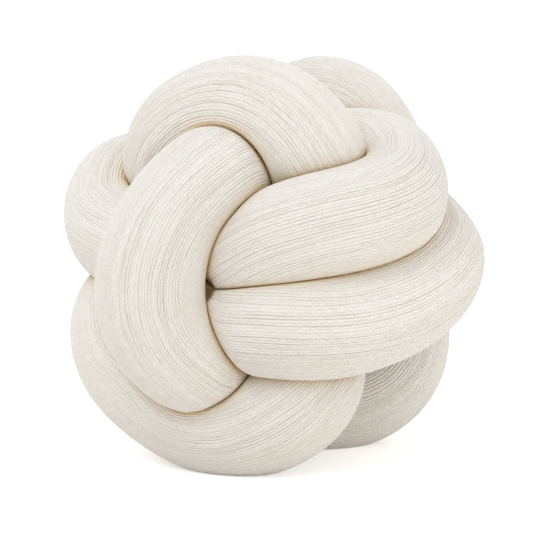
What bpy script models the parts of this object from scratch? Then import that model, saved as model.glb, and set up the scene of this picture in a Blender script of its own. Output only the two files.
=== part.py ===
"""A knot cushion: one long filled tube of rib knit, closed on itself and tied into a ball.

The tube's centre line runs once round the whole knot. It is given as twelve named runs of a few
stations each, smoothed into one closed curve and then settled, so that neighbouring passes of
the tube press on each other without meeting. Sections swept along it are round where the tube
is free and flat where it is pressed. The ball leans back a little and rests on three flat spots.
"""

import math

import bpy
import numpy as np

MM = 0.001

# Driving sizes, in millimetres and degrees
TUBE_DIAMETER = 72.0  # the free, round tube
SEAM_GAP = 0.9  # clear air between two passes that press on each other
LEAN_BACK = 8.0  # how far the ball is rolled back from upright
REST_DEPTH = 5.0  # how far the lowest passes are pressed flat by the floor
BALL_RADIUS = 115.0  # the centre line stays inside this, so the ball stays round
BALL_HALF_DEPTH = 111.0  # the same from front to back

# How the filled tube behaves
CONTACT = 0.84  # least distance between two passes, in tube diameters
TIGHTEST_BEND = 0.42  # least radius of a bend, in tube diameters
MOST_SWELL = 1.07  # a pressed section swells to this at most
SECTION_KEPT = 0.94  # share of the round section's area that a pressed one keeps
CORNER = 9.0  # how sharply a round side turns into a pressed one
SWELL_PASSES = 6  # how far swelling spreads along the tube, in passes of evening

# How the knot settles: the share of each fault that one step takes away
SETTLE_STEPS = 300
PUSH_APART = 0.4  # two passes nearer than their contact distance
CROWDING = 0.85  # how far a push is shared out where many passes crowd
EVEN_OUT = 0.4  # unevenness of the line
TIGHTEN = 0.12  # slack where nothing holds the line
OPEN_BEND = 0.5  # a bend sharper than the tightest
KEEP_IN_BALL = 0.5  # reach past the ball
SPACE_EVENLY = 0.25  # uneven spacing of the points
PULL_HOME = 0.8  # distance of a held station from its place
SLIDE = 0.8  # share of that pull left out along the tube
DEPTH_HOLD = 0.28  # how much softer a station is held front to back

# What limits a section, in tube radii
OWN_BEND = (0.3, 2.2)  # length of tube that counts as the section's own bend
BEND_CLEARANCE = 0.04  # clear of the middle of its own bend
LOOK_ROUND = 3.2  # how far off another pass can press on it
LEAST_REACH = 0.12

# How finely it is modelled
CURVE_POINTS = 300
EVENING = (14, 0.50, 0.52)  # passes that even the settled line, and their two weights
RINGS = 178
RING_POINTS = 32
BEND_RINGS = 0.35  # how much closer the rings stand in a bend
KNIT_COLOUR = (0.84, 0.81, 0.76, 1.0)

# The knot, seen from the front: x to the right, y up, z towards the viewer, from the ball's
# middle. Each run is one pass of the tube over or through the ball, and the last run leads back
# into the first. hold is how firmly a station keeps its place while the knot settles.
COLUMNS = ("x", "y", "z", "hold")
RUNS = {
    # rises from the core, arches over the top of the ball and dives on the left
    "crown_arch": (
        (28, 27, 20, 0.0),
        (32, 55, 57, 1.0),
        (16, 88, 76, 1.0),
        (-4, 105, 74, 1.0),
        (-33, 106, 54, 1.0),
        (-60, 95, 28, 1.0),
        (-71, 69, -2, 0.8),
    ),
    # under the left turn, down to the floor at the back and up the middle of the back
    "rear_loop": (
        (-66, 29, -43, 0.0),
        (-71, -25, -68, 0.0),
        (-52, -85, -58, 0.5),
        (-18, -91, -60, 0.5),
        (20, -43, -97, 0.0),
        (16, 50, -56, 0.0),
    ),
    # over the shoulder behind the crown, then down to the right
    "rear_shoulder": (
        (18, 86, -61, 0.0),
        (18, 123, -72, 1.0),
        (45, 119, -66, 1.0),
        (69, 93, -60, 1.0),
        (88, 46, -50, 0.7),
    ),
    # comes forward on the right and crosses the lower front to the left
    "lower_sweep": (
        (113, 14, -10, 0.9),
        (111, -3, 30, 1.0),
        (82, -27, 80, 1.0),
        (42, -38, 100, 1.0),
        (3, -37, 94, 1.0),
        (-30, -31, 66, 0.9),
    ),
    # under the front column and round the left side
    "left_turn": (
        (-61, -14, 38, 0.3),
        (-88, 11, 18, 0.6),
        (-109, 26, -8, 1.0),
        (-115, 44, -30, 1.0),
        (-103, 70, -58, 0.8),
    ),
    # a band across the back, from the upper left down to the right
    "back_band": (
        (-72, 58, -72, 0.0),
        (-32, 58, -97, 0.0),
        (14, 43, -112, 0.0),
        (58, 22, -101, 0.0),
        (86, -4, -76, 0.0),
    ),
    # the foot at the right, and on under the lower arch
    "right_foot": (
        (93, -40, -50, 0.5),
        (89, -73, -38, 0.9),
        (63, -94, -28, 1.0),
        (16, -97, -15, 0.8),
        (-30, -79, 10, 0.5),
    ),
    # the upright pass at the front left
    "front_column": (
        (-45, -70, 61, 0.8),
        (-72, -47, 92, 1.0),
        (-86, -17, 106, 1.0),
        (-80, 10, 108, 1.0),
        (-62, 41, 99, 1.0),
        (-38, 61, 78, 1.0),
    ),
    # under the crown and round the tight turn at the upper right
    "right_turn": (
        (-8, 78, 8, 0.5),
        (18, 78, -14, 0.5),
        (47, 76, -14, 0.5),
        (70, 76, -2, 0.8),
        (82, 62, 28, 1.0),
    ),
    # crosses the upper front to the left
    "upper_sweep": (
        (78, 45, 64, 1.0),
        (55, 33, 91, 1.0),
        (23, 24, 103, 1.0),
        (-8, 11, 94, 1.0),
        (-37, -10, 56, 0.8),
    ),
    # under the front column, down the left and along the bottom of the front
    "lower_arch": (
        (-65, -6, -12, 0.2),
        (-95, -20, -24, 0.4),
        (-111, -44, 2, 1.0),
        (-101, -73, 22, 1.0),
        (-44, -106, 58, 1.0),
        (-8, -106, 74, 1.0),
        (18, -88, 74, 1.0),
    ),
    # straight up through the core, behind the two sweeps
    "core_pass": ((30, -32, 26, 0.0),),
}


def stations():
    """Every run's rows in order, as (points, holds)."""
    rows = np.array([row for run in RUNS.values() for row in run], float)
    return rows[:, :3], rows[:, COLUMNS.index("hold")]


def distances(points):
    """Running length to each point of a closed curve, and to its first point again."""
    steps = np.linalg.norm(np.roll(points, -1, axis=0) - points, axis=1)
    return np.concatenate([[0.0], np.cumsum(steps)])


def closed_curve(points, holds, per_span=24):
    """A smooth closed curve through the stations, with the holds spread along it."""
    curve = []
    spread = []
    count = len(points)
    part = np.linspace(0.0, 1.0, per_span, endpoint=False)[:, None]
    for i in range(count):
        a, b, c, d = (points[(i + k) % count] for k in (-1, 0, 1, 2))
        t1 = math.sqrt(np.linalg.norm(b - a))
        t2 = t1 + math.sqrt(np.linalg.norm(c - b))
        t3 = t2 + math.sqrt(np.linalg.norm(d - c))
        t = t1 + (t2 - t1) * part
        ab = a + (b - a) * t / t1
        bc = b + (c - b) * (t - t1) / (t2 - t1)
        cd = c + (d - c) * (t - t2) / (t3 - t2)
        abc = ab + (bc - ab) * t / t2
        bcd = bc + (cd - bc) * (t - t1) / (t3 - t1)
        curve.append(abc + (bcd - abc) * (t - t1) / (t2 - t1))
        spread.append(holds[i] + (holds[(i + 1) % count] - holds[i]) * part[:, 0])
    return np.concatenate(curve), np.concatenate(spread)


def sampled(run, columns, at):
    """Columns known round a closed curve, read off at the given running lengths."""
    ring = np.vstack([columns, columns[:1]])
    return np.stack([np.interp(at, run, ring[:, k]) for k in range(ring.shape[1])], axis=1)


def tangents(points):
    """Unit directions along a closed curve."""
    way = np.roll(points, -1, axis=0) - np.roll(points, 1, axis=0)
    return way / np.linalg.norm(way, axis=1, keepdims=True)


def neighbours_mean(points):
    """The middle of each point's two neighbours on a closed curve."""
    return 0.5 * (np.roll(points, 1, axis=0) + np.roll(points, -1, axis=0))


def spacing_between(count, length):
    """Running length between every two points of a closed curve."""
    index = np.arange(count)
    apart = np.abs(index[:, None] - index[None])
    return np.minimum(apart, count - apart) * length / count


def wanted_distance(arc):
    """Least straight distance between two points of the centre line, by the length between."""
    bend = 2 * TIGHTEST_BEND * TUBE_DIAMETER
    curl = bend * np.sin(np.minimum(arc / bend, math.pi / 2))
    far = np.clip((arc - 1.4 * TUBE_DIAMETER) / (0.8 * TUBE_DIAMETER), 0.0, 1.0)
    return curl * (1 - far) + CONTACT * TUBE_DIAMETER * far


def settle(home, hold):
    """Lets the knot settle: passes push apart, the line straightens, held stations stay."""
    points = home.copy()
    count = len(points)
    firm = np.stack([hold, hold, DEPTH_HOLD * hold], axis=1)
    loose = (1 - hold)[:, None]
    along = tangents(home)
    room = np.array([BALL_RADIUS, BALL_RADIUS, BALL_HALF_DEPTH])
    for _ in range(SETTLE_STEPS):
        arc = spacing_between(count, distances(points)[-1])
        apart = points[:, None] - points[None]
        far = np.linalg.norm(apart, axis=2) + 1e-9
        short = np.maximum(wanted_distance(arc) - far, 0.0)
        np.fill_diagonal(short, 0.0)
        crowd = np.maximum((short > 0).sum(axis=1), 1) ** CROWDING
        points += PUSH_APART * (apart * (short / far)[:, :, None]).sum(axis=1) / crowd[:, None]

        sag = neighbours_mean(points) - points
        points -= EVEN_OUT * (neighbours_mean(sag) - sag)
        points += TIGHTEN * sag * loose
        depth = np.linalg.norm(sag, axis=1, keepdims=True)
        step = distances(points)[-1] / count
        allowed = 0.5 * step**2 / (TIGHTEST_BEND * TUBE_DIAMETER)
        points += OPEN_BEND * sag * np.maximum(1 - allowed / np.maximum(depth, 1e-9), 0.0)

        reach = np.linalg.norm(points / room, axis=1, keepdims=True)
        points -= KEEP_IN_BALL * points * np.maximum(reach - 1, 0) / reach

        for _ in range(2):
            step = np.roll(points, -1, axis=0) - points
            size = np.linalg.norm(step, axis=1, keepdims=True)
            shift = SPACE_EVENLY * step * (size - size.mean()) / size
            points += shift
            points -= np.roll(shift, 1, axis=0)

        off = home - points
        off -= SLIDE * along * (off * along).sum(axis=1, keepdims=True)
        points += PULL_HOME * firm * off
    passes, smooth, restore = EVENING
    for _ in range(passes):
        points += smooth * (neighbours_mean(points) - points)
        points -= restore * (neighbours_mean(points) - points)
    return points


def ring_places(points, count):
    """Running lengths of the rings, closer together where the tube bends."""
    run = distances(points)
    step = np.roll(points, -1, axis=0) - points
    way = step / np.linalg.norm(step, axis=1, keepdims=True)
    turn = np.linalg.norm(np.roll(way, -1, axis=0) - way, axis=1)
    for _ in range(8):
        turn = 0.5 * turn + 0.25 * (np.roll(turn, 1) + np.roll(turn, -1))
    weight = np.diff(run) + BEND_RINGS * TUBE_DIAMETER * turn
    total = np.concatenate([[0.0], np.cumsum(weight)])
    return np.interp(np.arange(count) * total[-1] / count, total, run)


def ring_frames(way):
    """Two cross directions for each ring's tangent, carried round without a sudden twist."""
    count = len(way)
    side = np.empty_like(way)
    side[0] = np.cross(way[0], (0.0, 0.0, 1.0))
    side[0] /= np.linalg.norm(side[0])
    for i in range(1, count):
        side[i] = side[i - 1] - way[i] * (side[i - 1] @ way[i])
        side[i] /= np.linalg.norm(side[i])
    last = side[-1] - way[0] * (side[-1] @ way[0])
    other = np.cross(way[0], side[0])
    twist = -math.atan2(last @ other, last @ side[0]) * np.arange(count) / count
    up = np.cross(way, side)
    turned = side * np.cos(twist)[:, None] + up * np.sin(twist)[:, None]
    return turned, np.cross(way, turned)


def reach_limits(rings, line, rays):
    """How far each ray of each ring may go before it meets the middle plane to another pass.

    line is the fine centre line. A ray stops where it is as near to another point of the line
    as to its own ring, less half the gap; in a bend that is also where the sections would fold.
    """
    radius = TUBE_DIAMETER / 2
    run = distances(line)
    limits = np.empty(rays.shape[:2])
    for i, (centre, place) in enumerate(rings):
        to = line - centre
        square = (to**2).sum(axis=1)
        arc = np.abs(run[:-1] - place)
        arc = np.minimum(arc, run[-1] - arc)
        near = (arc > OWN_BEND[0] * radius) & (square < (LOOK_ROUND * radius) ** 2)
        facing = np.maximum(to[near] @ rays[i].T, 1e-6)
        half = square[near][:, None] / (2 * facing)
        seam = 0.5 * SEAM_GAP * np.sqrt(square[near])[:, None] / facing
        other = arc[near][:, None] > OWN_BEND[1] * radius
        margin = np.where(other, seam, BEND_CLEARANCE * radius)
        limits[i] = (half - margin).min(axis=0)
    return np.maximum(limits, LEAST_REACH * radius)


def pressed(limits):
    """Section radii under the limits: the free sides swell to keep most of the area."""
    radius = TUBE_DIAMETER / 2
    wedge = 0.5 * math.sin(2 * math.pi / RING_POINTS)

    def soft(size):
        return (size[:, None] ** -CORNER + limits**-CORNER) ** (-1 / CORNER)

    size = np.full(len(limits), radius)
    for _ in range(12):
        reach = soft(size)
        area = wedge * (reach * np.roll(reach, -1, axis=1)).sum(axis=1)
        scale = np.sqrt(SECTION_KEPT * math.pi * radius**2 / area)
        size = np.minimum(size * np.clip(scale, 0.97, 1.03), MOST_SWELL * radius)
    for _ in range(SWELL_PASSES):
        size = 0.5 * size + 0.25 * (np.roll(size, 1) + np.roll(size, -1))
    return soft(size)


def leaned(points):
    """From the knot's own frame (z towards the viewer) to the room's, with +Z up."""
    lean = math.radians(LEAN_BACK)
    x, y, z = points[..., 0], points[..., 1], points[..., 2]
    depth = y * math.sin(lean) - z * math.cos(lean)
    height = y * math.cos(lean) + z * math.sin(lean)
    return np.stack([x, depth, height], axis=-1)


def on_floor(points):
    """Presses the lowest passes flat and puts the middle of the box's bottom at the origin."""
    floor = points[..., 2].min() + REST_DEPTH
    points[..., 2] = np.maximum(points[..., 2], floor) - floor
    for axis in (0, 1):
        points[..., axis] -= 0.5 * (points[..., axis].min() + points[..., axis].max())
    return points


def tube_points():
    """The knot's surface as rings of points, in millimetres."""
    points, holds = stations()
    curve, spread = closed_curve(points, holds)
    run = distances(curve)
    even = np.linspace(0.0, run[-1], CURVE_POINTS, endpoint=False)
    placed = sampled(run, np.column_stack([curve, spread]), even)
    line = settle(placed[:, :3], placed[:, 3])
    smooth, _ = closed_curve(line, np.zeros(len(line)), per_span=4)
    places = ring_places(smooth, RINGS)
    centres = sampled(distances(smooth), smooth, places)
    way = sampled(distances(smooth), tangents(smooth), places)
    way /= np.linalg.norm(way, axis=1, keepdims=True)
    side, up = ring_frames(way)
    angle = np.arange(RING_POINTS) * 2 * math.pi / RING_POINTS
    across = side[:, None] * np.cos(angle)[None, :, None]
    rays = across + up[:, None] * np.sin(angle)[None, :, None]
    reach = pressed(reach_limits(list(zip(centres, places)), smooth, rays))
    return centres[:, None] + reach[:, :, None] * rays


def closed_tube(name, grid, material):
    """One closed mesh from rings of points that join end to end and round each ring."""
    rings, around = grid.shape[:2]
    index = np.arange(rings * around).reshape(rings, around)
    ahead = np.roll(index, -1, axis=0)
    beside = np.roll(index, -1, axis=1)
    corner = np.roll(ahead, -1, axis=1)
    quads = np.stack([index, beside, corner, ahead], axis=-1).reshape(-1, 4)
    mesh = bpy.data.meshes.new(name)
    mesh.from_pydata((grid.reshape(-1, 3) * MM).tolist(), [], quads.tolist())
    mesh.polygons.foreach_set("use_smooth", [True] * len(mesh.polygons))
    mesh.update()
    mesh.materials.append(material)
    thing = bpy.data.objects.new(name, mesh)
    bpy.context.scene.collection.objects.link(thing)
    return thing


def knit_material():
    """Off-white rib knit, matt."""
    material = bpy.data.materials.new("rib_knit")
    material.use_nodes = True
    shader = material.node_tree.nodes["Principled BSDF"]
    shader.inputs["Base Color"].default_value = KNIT_COLOUR
    shader.inputs["Roughness"].default_value = 0.9
    material.diffuse_color = KNIT_COLOUR
    return material


def clear_scene():
    """Takes away whatever the scene holds."""
    for thing in list(bpy.data.objects):
        bpy.data.objects.remove(thing, do_unlink=True)


def main():
    """Builds the cushion."""
    clear_scene()
    grid = on_floor(leaned(tube_points()))
    closed_tube("knotted_tube", grid, knit_material())


main()
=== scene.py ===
"""A knot cushion: one long filled tube of rib knit, closed on itself and tied into a ball.

The tube's centre line is settled from the same named runs as the solid that it replaces. Sections
are swept along it, round where the tube is free and flat where two passes press on each other, and
the knit's wales are raised on them as real relief. The tube is made in five lengths, which meet
inside the knot or where another pass lies over them.
"""

import logging
import math
from dataclasses import dataclass, field
from enum import Enum

import bpy
import numpy as np
from mathutils import Matrix, Vector


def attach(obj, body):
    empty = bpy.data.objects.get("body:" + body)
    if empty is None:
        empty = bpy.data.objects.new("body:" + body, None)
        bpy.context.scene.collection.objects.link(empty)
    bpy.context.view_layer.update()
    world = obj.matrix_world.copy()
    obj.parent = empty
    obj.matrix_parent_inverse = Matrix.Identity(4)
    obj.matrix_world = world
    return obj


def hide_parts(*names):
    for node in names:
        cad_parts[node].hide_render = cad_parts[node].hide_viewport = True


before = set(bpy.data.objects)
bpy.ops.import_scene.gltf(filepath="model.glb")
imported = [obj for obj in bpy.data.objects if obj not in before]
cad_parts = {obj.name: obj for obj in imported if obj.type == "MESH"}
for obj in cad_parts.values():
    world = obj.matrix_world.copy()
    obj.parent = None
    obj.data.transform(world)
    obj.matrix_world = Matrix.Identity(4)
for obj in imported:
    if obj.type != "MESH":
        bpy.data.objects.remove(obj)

LOG = logging.getLogger("knot_cushion")
MM = 0.001
WHITE = (1.0, 1.0, 1.0, 1.0)
NODE = "knotted_tube"
PICTURE_SIDE = 533

# What keeps a division from zero, and what counts as facing another pass at all
TINY = 1e-9
LEAST_FACING = 1e-6

# What the mesh hands to its material: masks of painted shade, and the knit's map
GROOVE_SHADE_MASK = "groove"
CREASE_SHADE_MASK = "closeness"
LAY_MAP = "lay_of_knit"

Array = np.ndarray
Socket = bpy.types.NodeSocket
Row = tuple[float, float, float, float]
Ramp = tuple[float, float, float, float]
Place = tuple[float, float, float]
Colour = tuple[float, float, float]
Pair = tuple[float, float]


class Detail(Enum):
    """How finely the knit is modelled: spacing of the rings in mm, and points in each wale."""

    DRAFT = (7.0, 4)
    FULL = (3.9, 5)

    @property
    def ring_step(self) -> float:
        """Spacing of the rings along the tube, in millimetres."""
        return self.value[0]

    @property
    def wale_points(self) -> int:
        """Points across one wale."""
        return self.value[1]


class Run(Enum):
    """The passes of the tube, in the order in which it runs through the knot."""

    CROWN_ARCH = "crown_arch"
    REAR_LOOP = "rear_loop"
    REAR_SHOULDER = "rear_shoulder"
    LOWER_SWEEP = "lower_sweep"
    LEFT_TURN = "left_turn"
    BACK_BAND = "back_band"
    RIGHT_FOOT = "right_foot"
    FRONT_COLUMN = "front_column"
    RIGHT_TURN = "right_turn"
    UPPER_SWEEP = "upper_sweep"
    LOWER_ARCH = "lower_arch"
    CORE_PASS = "core_pass"


# Each run's stations: x to the right, y up, z towards the viewer, in millimetres from the ball's
# middle, and how firmly the station keeps its place while the knot settles.
STATIONS: dict[Run, tuple[Row, ...]] = {
    # rises from the core, arches over the top of the ball and dives on the left
    Run.CROWN_ARCH: (
        (28, 27, 20, 0.0),
        (32, 55, 57, 1.0),
        (16, 88, 76, 1.0),
        (-4, 105, 74, 1.0),
        (-33, 106, 54, 1.0),
        (-60, 95, 28, 1.0),
        (-71, 69, -2, 0.8),
    ),
    # under the left turn, down to the floor at the back and up the middle of the back
    Run.REAR_LOOP: (
        (-66, 29, -43, 0.0),
        (-71, -25, -68, 0.0),
        (-52, -85, -58, 0.5),
        (-18, -91, -60, 0.5),
        (20, -43, -97, 0.0),
        (16, 50, -56, 0.0),
    ),
    # over the shoulder behind the crown, then down to the right
    Run.REAR_SHOULDER: (
        (18, 86, -61, 0.0),
        (18, 123, -72, 1.0),
        (45, 119, -66, 1.0),
        (69, 93, -60, 1.0),
        (88, 46, -50, 0.7),
    ),
    # comes forward on the right and crosses the lower front to the left
    Run.LOWER_SWEEP: (
        (113, 14, -10, 0.9),
        (111, -3, 30, 1.0),
        (82, -27, 80, 1.0),
        (42, -38, 100, 1.0),
        (3, -37, 94, 1.0),
        (-30, -31, 66, 0.9),
    ),
    # under the front column and round the left side
    Run.LEFT_TURN: (
        (-61, -14, 38, 0.3),
        (-88, 11, 18, 0.6),
        (-109, 26, -8, 1.0),
        (-115, 44, -30, 1.0),
        (-103, 70, -58, 0.8),
    ),
    # a band across the back, from the upper left down to the right
    Run.BACK_BAND: (
        (-72, 58, -72, 0.0),
        (-32, 58, -97, 0.0),
        (14, 43, -112, 0.0),
        (58, 22, -101, 0.0),
        (86, -4, -76, 0.0),
    ),
    # the foot at the right, and on under the lower arch
    Run.RIGHT_FOOT: (
        (93, -40, -50, 0.5),
        (89, -73, -38, 0.9),
        (63, -94, -28, 1.0),
        (16, -97, -15, 0.8),
        (-30, -79, 10, 0.5),
    ),
    # the upright pass at the front left
    Run.FRONT_COLUMN: (
        (-45, -70, 61, 0.8),
        (-72, -47, 92, 1.0),
        (-86, -17, 106, 1.0),
        (-80, 10, 108, 1.0),
        (-62, 41, 99, 1.0),
        (-38, 61, 78, 1.0),
    ),
    # under the crown and round the tight turn at the upper right
    Run.RIGHT_TURN: (
        (-8, 78, 8, 0.5),
        (18, 78, -14, 0.5),
        (47, 76, -14, 0.5),
        (70, 76, -2, 0.8),
        (82, 62, 28, 1.0),
    ),
    # crosses the upper front to the left
    Run.UPPER_SWEEP: (
        (78, 45, 64, 1.0),
        (55, 33, 91, 1.0),
        (23, 24, 103, 1.0),
        (-8, 11, 94, 1.0),
        (-37, -10, 56, 0.8),
    ),
    # under the front column, down the left and along the bottom of the front
    Run.LOWER_ARCH: (
        (-65, -6, -12, 0.2),
        (-95, -20, -24, 0.4),
        (-111, -44, 2, 1.0),
        (-101, -73, 22, 1.0),
        (-44, -106, 58, 1.0),
        (-8, -106, 74, 1.0),
        (18, -88, 74, 1.0),
    ),
    # straight up through the core, behind the two sweeps
    Run.CORE_PASS: ((30, -32, 26, 0.0),),
}


def distances(points: Array) -> Array:
    """Running length along a closed curve.

    Args:
        points: The curve's points, one a row.

    Returns:
        The length to each point, and to the first point again.
    """
    steps = np.linalg.norm(np.roll(points, -1, axis=0) - points, axis=1)
    return np.concatenate([[0.0], np.cumsum(steps)])


def sampled(run: Array, columns: Array, at: Array) -> Array:
    """Columns known round a closed curve, read off at given lengths.

    Args:
        run: The running lengths, as distances gives them.
        columns: The values at the curve's points, one row a point.
        at: The lengths to read at.

    Returns:
        One row of values for each length.
    """
    ring = np.vstack([columns, columns[:1]])
    return np.stack([np.interp(at, run, ring[:, k]) for k in range(ring.shape[1])], axis=1)


def tangents(points: Array) -> Array:
    """Unit directions along a closed curve."""
    way = np.roll(points, -1, axis=0) - np.roll(points, 1, axis=0)
    return way / np.linalg.norm(way, axis=1, keepdims=True)


def neighbours_mean(points: Array) -> Array:
    """The middle of each point's two neighbours on a closed curve."""
    return 0.5 * (np.roll(points, 1, axis=0) + np.roll(points, -1, axis=0))


def evened(values: Array, passes: int, axis: int) -> Array:
    """Values round a closed row, smoothed.

    Args:
        values: The values.
        passes: How many times each is mixed with its neighbours.
        axis: The axis that closes on itself.

    Returns:
        The smoothed values.
    """
    for _ in range(passes):
        sides = np.roll(values, 1, axis=axis) + np.roll(values, -1, axis=axis)
        values = 0.5 * values + 0.25 * sides
    return values


def wandering(rng: np.random.Generator, lines: int, count: int, reach: float) -> Array:
    """Smooth random waves for several lines that close on themselves.

    Args:
        rng: The seeded source.
        lines: How many lines.
        count: Points along each line.
        reach: How far the waves hang together, in points.

    Returns:
        One row a line, with mean 0 and spread 1.
    """
    noise = np.fft.rfft(rng.standard_normal((lines, count)), axis=1)
    noise *= np.exp(-0.5 * (2 * math.pi * np.fft.rfftfreq(count) * reach) ** 2)
    waves = np.fft.irfft(noise, count, axis=1)
    return waves / np.maximum(waves.std(), TINY)


def ringed(rows: Array) -> Array:
    """Rows that run round a section, with their first point again at the end."""
    return np.concatenate([rows, rows[:, :1]], axis=1)


@dataclass(frozen=True)
class Settling:
    """How the knot settles: most are the share of a fault that one step takes away.

    Attributes:
        steps: How many steps.
        push_apart: Two passes nearer than their contact distance.
        crowding: How far a push is shared out where many passes crowd.
        even_out: Unevenness of the line.
        tighten: Slack where nothing holds the line.
        open_bend: A bend sharper than the tightest.
        keep_in_ball: Reach past the ball.
        space_evenly: Uneven spacing of the points, and how often in each step.
        pull_home: Distance of a held station from its place.
        slide: Share of that pull left out along the tube.
        depth_hold: How firmly a station is held front to back, against across.
        evening: Passes that even the settled line, and the two weights of each.
    """

    steps: int = 300
    push_apart: float = 0.4
    crowding: float = 0.85
    even_out: float = 0.4
    tighten: float = 0.12
    open_bend: float = 0.5
    keep_in_ball: float = 0.5
    space_evenly: tuple[float, int] = (0.25, 2)
    pull_home: float = 0.8
    slide: float = 0.8
    depth_hold: float = 0.28
    evening: tuple[int, float, float] = (14, 0.50, 0.52)


@dataclass
class CentreLine:
    """The tube's settled centre line, in the knot's own frame and in millimetres.

    Attributes:
        diameter: The free tube's diameter.
        contact: Least distance between two passes, in diameters.
        tightest: Least radius of a bend, in diameters.
        passing: Length of tube after which two points start to count as two passes, and over
            which they come to, in diameters.
        ball: Greatest distance of the line from the middle, across and front to back.
        count: Points that settle.
        spans: Points drawn between two stations, and between two settled points.
        settling: How the knot settles.
    """

    diameter: float = 72.0
    contact: float = 0.84
    tightest: float = 0.42
    passing: Pair = (1.4, 0.8)
    ball: Pair = (115.0, 111.0)
    count: int = 300
    spans: tuple[int, int] = (24, 4)
    settling: Settling = Settling()
    fine: Array = field(init=False)

    def __post_init__(self) -> None:
        """Settles the line and draws the fine curve through it."""
        rows = np.array([row for run in Run for row in STATIONS[run]], float)
        curve, holds = self.through(rows[:, :3], rows[:, 3], self.spans[0])
        run = distances(curve)
        even = np.linspace(0.0, run[-1], self.count, endpoint=False)
        placed = sampled(run, np.column_stack([curve, holds]), even)
        settled = self.settle(placed[:, :3], placed[:, 3])
        self.fine, _ = self.through(settled, np.zeros(self.count), self.spans[1])

    @staticmethod
    def through(points: Array, holds: Array, per_span: int) -> tuple[Array, Array]:
        """A smooth closed curve through points.

        Args:
            points: The points.
            holds: A value at each point, spread along the curve.
            per_span: Points made between two given ones.

        Returns:
            The curve, and the spread values.
        """
        curve = []
        spread = []
        count = len(points)
        part = np.linspace(0.0, 1.0, per_span, endpoint=False)[:, None]
        for i in range(count):
            a, b, c, d = (points[(i + k) % count] for k in (-1, 0, 1, 2))
            t1 = math.sqrt(np.linalg.norm(b - a))
            t2 = t1 + math.sqrt(np.linalg.norm(c - b))
            t3 = t2 + math.sqrt(np.linalg.norm(d - c))
            t = t1 + (t2 - t1) * part
            ab = a + (b - a) * t / t1
            bc = b + (c - b) * (t - t1) / (t2 - t1)
            cd = c + (d - c) * (t - t2) / (t3 - t2)
            abc = ab + (bc - ab) * t / t2
            bcd = bc + (cd - bc) * (t - t1) / (t3 - t1)
            curve.append(abc + (bcd - abc) * (t - t1) / (t2 - t1))
            spread.append(holds[i] + (holds[(i + 1) % count] - holds[i]) * part[:, 0])
        return np.concatenate(curve), np.concatenate(spread)

    def wanted(self, arc: Array) -> Array:
        """Least straight distance between two points, by the length of tube between them.

        Args:
            arc: The lengths of tube.

        Returns:
            The distances, in the same order.
        """
        start, over = self.passing
        bend = 2 * self.tightest * self.diameter
        curl = bend * np.sin(np.minimum(arc / bend, math.pi / 2))
        far = np.clip((arc - start * self.diameter) / (over * self.diameter), 0.0, 1.0)
        return curl * (1 - far) + self.contact * self.diameter * far

    def settle(self, home: Array, hold: Array) -> Array:
        """Lets the knot settle: passes push apart, the line straightens, held points stay.

        Args:
            home: Where the points start.
            hold: How firmly each keeps its place, from 0 to 1.

        Returns:
            Where the points come to rest.
        """
        rule = self.settling
        points = home.copy()
        index = np.arange(self.count)
        apart = np.abs(index[:, None] - index[None])
        share = np.minimum(apart, self.count - apart) / self.count
        firm = np.stack([hold, hold, rule.depth_hold * hold], axis=1)
        loose = (1 - hold)[:, None]
        along = tangents(home)
        room = np.array([self.ball[0], self.ball[0], self.ball[1]])
        for _ in range(rule.steps):
            length = distances(points)[-1]
            between = points[:, None] - points[None]
            far = np.linalg.norm(between, axis=2) + TINY
            short = np.maximum(self.wanted(share * length) - far, 0.0)
            np.fill_diagonal(short, 0.0)
            crowd = np.maximum((short > 0).sum(axis=1), 1) ** rule.crowding
            push = (between * (short / far)[:, :, None]).sum(axis=1)
            points += rule.push_apart * push / crowd[:, None]
            self.straighten(points, loose)
            reach = np.linalg.norm(points / room, axis=1, keepdims=True)
            points -= rule.keep_in_ball * points * np.maximum(reach - 1, 0) / reach
            self.space(points)
            off = home - points
            off -= rule.slide * along * (off * along).sum(axis=1, keepdims=True)
            points += rule.pull_home * firm * off
        passes, inwards, outwards = rule.evening
        for _ in range(passes):
            points += inwards * (neighbours_mean(points) - points)
            points -= outwards * (neighbours_mean(points) - points)
        return points

    def straighten(self, points: Array, loose: Array) -> None:
        """Evens the line in place, tightens its loose stretches and opens sharp bends.

        Args:
            points: The line's points, which are moved.
            loose: How freely each moves, from 0 to 1.
        """
        rule = self.settling
        sag = neighbours_mean(points) - points
        points -= rule.even_out * (neighbours_mean(sag) - sag)
        points += rule.tighten * sag * loose
        depth = np.linalg.norm(sag, axis=1, keepdims=True)
        step = distances(points)[-1] / self.count
        allowed = 0.5 * step**2 / (self.tightest * self.diameter)
        points += rule.open_bend * sag * np.maximum(1 - allowed / np.maximum(depth, TINY), 0.0)

    def space(self, points: Array) -> None:
        """Brings the points to even spacing.

        Args:
            points: The line's points, which are moved.
        """
        share, times = self.settling.space_evenly
        for _ in range(times):
            step = np.roll(points, -1, axis=0) - points
            size = np.linalg.norm(step, axis=1, keepdims=True)
            shift = share * step * (size - size.mean()) / size
            points += shift
            points -= np.roll(shift, 1, axis=0)

    def place_of(self, run: Run, station: int = 0) -> float:
        """Running length at a station of a run.

        Args:
            run: The run.
            station: Which of its stations.

        Returns:
            The length along the fine curve to the point nearest the station.
        """
        start = np.array(STATIONS[run][station][:3])
        away = np.linalg.norm(self.fine - start, axis=1)
        return float(distances(self.fine)[int(away.argmin())])


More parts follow.
